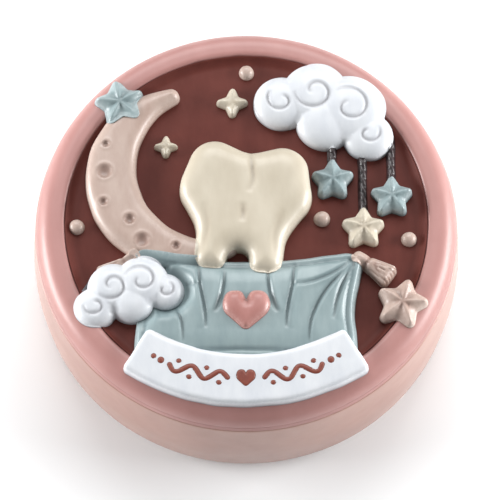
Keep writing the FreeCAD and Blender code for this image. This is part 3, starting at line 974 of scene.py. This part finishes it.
def bannerOutline():
    # two arcs and two slanted ends, with the four corners eased
    ease = banner["cornerShare"] * panelRadius
    down = -math.pi / 2
    path = []
    for key, lowest, way in (("outer", bannerNear, 1), ("inner", bannerFar, -1)):
        radius, half = (banner[key + part] * panelRadius for part in ("RadiusShare", "HalfSpanShare"))
        angle = math.asin(half / radius) * way
        ends = arc((0, lowest + radius), radius, down - angle, down + angle, banner["arcStep"])
        toEnd = np.minimum(lengths(ends - ends[0]), lengths(ends - ends[-1]))
        middle = ends[toEnd > ease * banner["cornerClear"]]
        path += [(*ends[0], ease)] + [(x, y, 0) for x, y in middle] + [(*ends[-1], ease)]
    return roundedPath(path, outlineStep)


def bannerSurface(points, depth):
    rise = swell(depth, banner["edgeReach"], banner["edgePower"])
    height = banner["height"] * (banner["edgeShare"] + (1 - banner["edgeShare"]) * rise)
    return panelTop + height + banner["crown"] * swell(depth, banner["crownReach"]), np.zeros(len(points))


bannerShape = reliefShape(bannerOutline(), bannerSurface, banner["spacing"])
makePiece("banner_plate", bannerShape, whiteResin, "white_resin", "label_banner")

# Brushed border on the banner: a heart between two waves, with dots in the hollows and at the ends. A dot is
# how far along, how far up and its radius, in mm from the plate's middle
border = dict(
    stroke=0.6, capPoints=8, loaded=0.1, loadedReach=0.25, inset=0.3, heartSize=(2.7, 2.5), spacing=0.2,
    waveStart=2.9, waveEnd=12.1, waveLength=4.6, swing=0.78, waveStep=0.15, step=0.14, dotStep=0.12,
    dots=[(4.05, -0.95, 0.32), (6.35, 0.95, 0.32), (8.65, -0.95, 0.32), (10.95, 0.95, 0.32),
          (13.6, 0.1, 0.42), (14.95, 0.2, 0.32)])
borderRadius = (banner["outerRadiusShare"] + banner["innerRadiusShare"]) / 2 * panelRadius - border["inset"]


def onBanner(path):
    # along the plate's middle line and across it, in mm from the middle
    along, up = np.array(path).T
    angle = along / borderRadius
    reach = borderRadius - up
    centreY = (bannerNear + bannerFar) / 2 + borderRadius
    return np.column_stack([reach * np.sin(angle), centreY - reach * np.cos(angle)])


def strokeOutline(path, width):
    # both sides of a brush stroke, with round ends
    way = np.gradient(path, axis=0)
    way = way / lengths(way)[:, None]
    side = np.column_stack([-way[:, 1], way[:, 0]]) * width / 2
    way = way * width / 2
    sweep = np.linspace(0, math.pi, border["capPoints"])[1:-1, None]
    front = path[-1] + np.cos(sweep) * side[-1] + np.sin(sweep) * way[-1]
    back = path[0] - np.cos(sweep) * side[0] - np.sin(sweep) * way[0]
    return evened(np.concatenate([path + side, front, (path - side)[::-1], back]), border["step"])


def brushSurface(points, depth):
    return heightUnder(points) + border["loaded"] * swell(depth, border["loadedReach"]), np.zeros(len(points))


strokes = []
for side in (-1, 1):
    along = np.arange(border["waveStart"], border["waveEnd"], border["waveStep"])
    wave = border["swing"] * np.sin(2 * math.pi * (along - border["waveStart"]) / border["waveLength"])
    strokes.append(strokeOutline(onBanner(np.column_stack([along * side, wave])), border["stroke"]))
    for reach, up, size in border["dots"]:
        strokes.append(disc(size, onBanner([(reach * side, up)])[0], border["dotStep"]))
width, length = border["heartSize"]
corners = [(x * width, y * length, radius * min(width, length)) for x, y, radius in heart["outlineShares"]]
strokes.append(roundedPath(corners, border["step"]) + onBanner([(0, 0)])[0])
strokeShapes = [reliefShape(outline, brushSurface, border["spacing"], heightUnder, 0) for outline in strokes]
makePiece("banner_border", joined(strokeShapes), russetPaint, "white_resin")
print("heart, tooth and banner sculpted")

# Floor: matt white card, which takes soft shadows and shows no gloss
floorHalf = 1.5  # m
floorCorners = [(x * floorHalf, y * floorHalf, 0) for x, y in ((-1, -1), (1, -1), (1, 1), (-1, 1))]
floorMaterial = newMaterial("matt_white_card", {"Base Color": linear("f7f9fa"), "Roughness": 0.9})[0]
floorMesh = bpy.data.meshes.new("floor")
floorMesh.from_pydata(floorCorners, [], [(0, 1, 2, 3)])
floorMesh.materials.append(floorMaterial)
floor = bpy.data.objects.new("floor", floorMesh)
scene.collection.objects.link(floor)


# Light: a large softbox behind, a low one at each side and a pale room, in metres and watts

def softbox(name, place, aim, width, length, power):
    light = bpy.data.lights.new(name, "AREA")
    light.shape = "RECTANGLE"
    light.size = width
    light.size_y = length
    light.energy = power
    lamp = bpy.data.objects.new(name, light)
    lamp.location = place
    lamp.rotation_euler = (Vector(aim) - Vector(place)).to_track_quat("-Z", "Y").to_euler()
    scene.collection.objects.link(lamp)


softbox("softbox_back", (0.0, 0.8, 0.8), (0, 0, 0.02), 1.0, 0.6, 10.0)
softbox("softbox_left", (-0.5, 0.02, 0.13), (0, 0, 0.01), 0.3, 0.2, 3.6)
softbox("softbox_right", (0.36, 0.02, 0.11), (0, 0, 0.01), 0.24, 0.16, 2.0)

world = bpy.data.worlds.new("studio")
world.use_nodes = True
world.node_tree.nodes["Background"].inputs["Color"].default_value = (1, 1, 1, 1)
world.node_tree.nodes["Background"].inputs["Strength"].default_value = 0.29
scene.world = world
scene.view_settings.view_transform = "Standard"

# Camera at the photograph's angle: degrees, and millimetres from the box's middle
view = dict(elevation=69.3, distance=386.0, lens=170.3, sensor=36.0, aimZ=12.0, right=0.6, down=1.1)
tilt = math.radians(view["elevation"])
sight = Vector((0, math.cos(tilt), -math.sin(tilt)))
upward = Vector((0, math.sin(tilt), math.cos(tilt)))
aim = Vector((view["right"], 0, view["aimZ"])) - upward * view["down"]
cameraData = bpy.data.cameras.new("camera")
cameraData.lens = view["lens"]
cameraData.sensor_width = view["sensor"]
cameraData.clip_start = 0.01
camera = bpy.data.objects.new("camera", cameraData)
camera.location = (aim - sight * view["distance"]) * mm
camera.rotation_euler = sight.to_track_quat("-Z", "Y").to_euler()
scene.collection.objects.link(camera)
scene.camera = camera
print("light and camera set")
